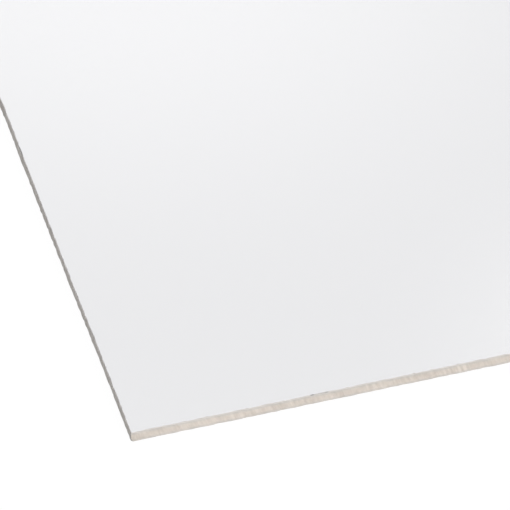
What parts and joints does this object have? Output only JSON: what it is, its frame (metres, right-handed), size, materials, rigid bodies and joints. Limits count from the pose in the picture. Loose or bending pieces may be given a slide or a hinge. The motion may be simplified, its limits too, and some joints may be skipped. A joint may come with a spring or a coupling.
{
  "type": "acrylic sheet",
  "caption": "Flat rectangular sheet of clear acrylic stock with glossy faces and matt saw-cut edges, for glazing, covers and parts cut from it.",
  "frame": {"origin": "middle of the underside, on the surface the sheet lies on", "axes": "+X along the length, +Y across the width, +Z out of the upper face"},
  "size_m": [0.5, 0.25, 0.003],
  "materials": {
    "clear_acrylic": "clear and glossy on both faces, matt warm grey on the saw-cut edges"
  },
  "bodies": {
    "root": {"acrylic_sheet": "clear_acrylic"}
  },
  "joints": []
}
